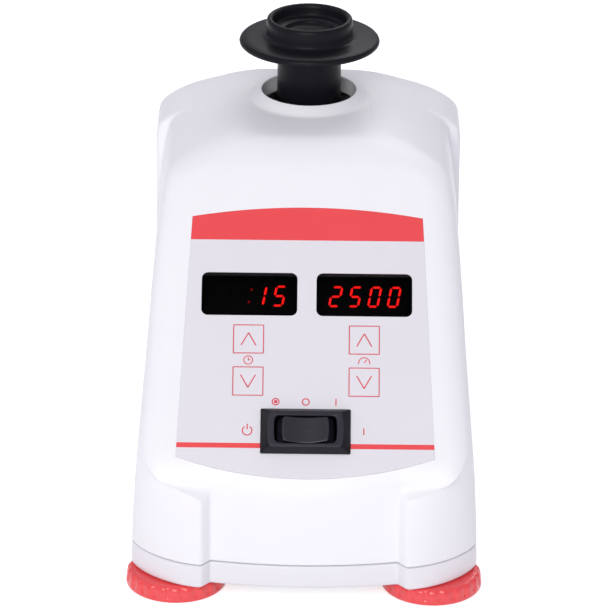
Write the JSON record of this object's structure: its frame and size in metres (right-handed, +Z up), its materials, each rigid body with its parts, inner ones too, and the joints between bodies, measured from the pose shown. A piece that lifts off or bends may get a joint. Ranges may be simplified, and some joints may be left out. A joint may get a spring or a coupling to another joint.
{
  "type": "vortex mixer",
  "caption": "Benchtop vortex mixer: wedge-shaped white housing with a sloping control panel, twin numeric displays, rocker switch and an orbiting rubber cup on top.",
  "frame": {"origin": "on the bench, below the middle of the bounding box", "axes": "+Z up, -Y towards the user who faces the control panel, +X to that user's right"},
  "size_m": [0.1014, 0.1603, 0.135],
  "materials": {
    "white_abs": "moulded, satin",
    "grey_abs": "moulded, matt",
    "red_rubber": "moulded, satin",
    "black_rubber": "moulded, matt",
    "printed_film": "printed polyester film, matt",
    "smoked_acrylic": "polished, dark red tint",
    "red_display": "moulded, matt",
    "black_nylon": "moulded, fine grain",
    "green_laminate": "solder mask over glass laminate",
    "bright_steel": "ground and plated",
    "cast_zinc": "as cast",
    "motor_steel": "pressed and lacquered",
    "nickel_brass": "nickel plated"
  },
  "bodies": {
    "housing": {"ballast_plate": "cast_zinc", "base_tray": "grey_abs", "control_board": "green_laminate", "housing_screw_front_left": "bright_steel", "housing_screw_front_right": "bright_steel", "housing_screw_rear_left": "bright_steel", "housing_screw_rear_right": "bright_steel", "inlet_pin_earth": "nickel_brass", "inlet_pin_live": "nickel_brass", "inlet_pin_neutral": "nickel_brass", "inlet_screw_left": "bright_steel", "inlet_screw_right": "bright_steel", "isolator_front_left": "black_rubber", "isolator_front_right": "black_rubber", "isolator_rear_left": "black_rubber", "isolator_rear_right": "black_rubber", "isolator_screw_front_left": "bright_steel", "isolator_screw_front_right": "bright_steel", "isolator_screw_rear_left": "bright_steel", "isolator_screw_rear_right": "bright_steel", "lower_bearing": "bright_steel", "mains_inlet": "black_nylon", "microswitch": "black_nylon", "motor_lower_bell": "motor_steel", "motor_plate": "bright_steel", "motor_upper_bell": "motor_steel", "panel_film": "printed_film", "power_board": "green_laminate", "return_spring": "bright_steel", "speed_display": "red_display", "speed_window": "smoked_acrylic", "stator": "motor_steel", "suction_foot_front_left": "red_rubber", "suction_foot_front_right": "red_rubber", "suction_foot_rear_left": "red_rubber", "suction_foot_rear_right": "red_rubber", "switch_frame": "black_nylon", "tact_switch_speed_down": "black_nylon", "tact_switch_speed_up": "black_nylon", "tact_switch_time_down": "black_nylon", "tact_switch_time_up": "black_nylon", "time_display": "red_display", "time_window": "smoked_acrylic", "transformer": "motor_steel", "upper_bearing": "bright_steel", "upper_housing": "white_abs"},
    "plunger": {"thrust_plunger": "black_nylon"},
    "shaft": {"motor_shaft": "bright_steel", "rotor": "motor_steel", "eccentric_hub": "cast_zinc"},
    "head": {"cup_head": "black_rubber", "head_carrier": "black_nylon", "head_bearing": "bright_steel"},
    "microswitch_button": {"microswitch_button": "red_display"},
    "rocker": {"rocker": "black_nylon"},
    "key_time_up": {"key_time_up": "printed_film"},
    "key_time_down": {"key_time_down": "printed_film"},
    "key_speed_up": {"key_speed_up": "printed_film"},
    "key_speed_down": {"key_speed_down": "printed_film"}
  },
  "joints": [
    {"name": "touch_press", "type": "slide", "parent": "housing", "child": "plunger", "axis": [0, 0, -1], "range_m": [0, 0.0015], "stiffness_N_per_m": 6000, "springref_m": -0.0012, "deforming": ["return_spring"]},
    {"name": "shaft_spin", "type": "hinge", "parent": "plunger", "child": "shaft", "pos_m": [0, 0.0307, 0.05], "axis": [0, 0, 1], "continuous": true},
    {"name": "head_orbit", "type": "hinge", "parent": "shaft", "child": "head", "pos_m": [0, 0.03315, 0.097], "axis": [0, 0, 1], "continuous": true},
    {"name": "microswitch_press", "type": "slide", "parent": "housing", "child": "microswitch_button", "axis": [0, 0, -1], "range_m": [0, 0.0015]},
    {"name": "rocker_tilt", "type": "hinge", "parent": "housing", "child": "rocker", "pos_m": [0, -0.06585, 0.04632], "axis": [0, 0.7071, 0.7071], "range_deg": [-12, 12]},
    {"name": "key_time_up_press", "type": "slide", "parent": "housing", "child": "key_time_up", "axis": [0, 0.7071, -0.7071], "range_m": [0, 0.0004], "stiffness_N_per_m": 900, "springref_m": -0.0002},
    {"name": "key_time_down_press", "type": "slide", "parent": "housing", "child": "key_time_down", "axis": [0, 0.7071, -0.7071], "range_m": [0, 0.0004], "stiffness_N_per_m": 900, "springref_m": -0.0002},
    {"name": "key_speed_up_press", "type": "slide", "parent": "housing", "child": "key_speed_up", "axis": [0, 0.7071, -0.7071], "range_m": [0, 0.0004], "stiffness_N_per_m": 900, "springref_m": -0.0002},
    {"name": "key_speed_down_press", "type": "slide", "parent": "housing", "child": "key_speed_down", "axis": [0, 0.7071, -0.7071], "range_m": [0, 0.0004], "stiffness_N_per_m": 900, "springref_m": -0.0002}
  ],
  "couplings": [
    {"joint": "head_orbit", "follows": "shaft_spin", "ratio": -1},
    {"joint": "microswitch_press", "follows": "touch_press", "ratio": 1}
  ]
}
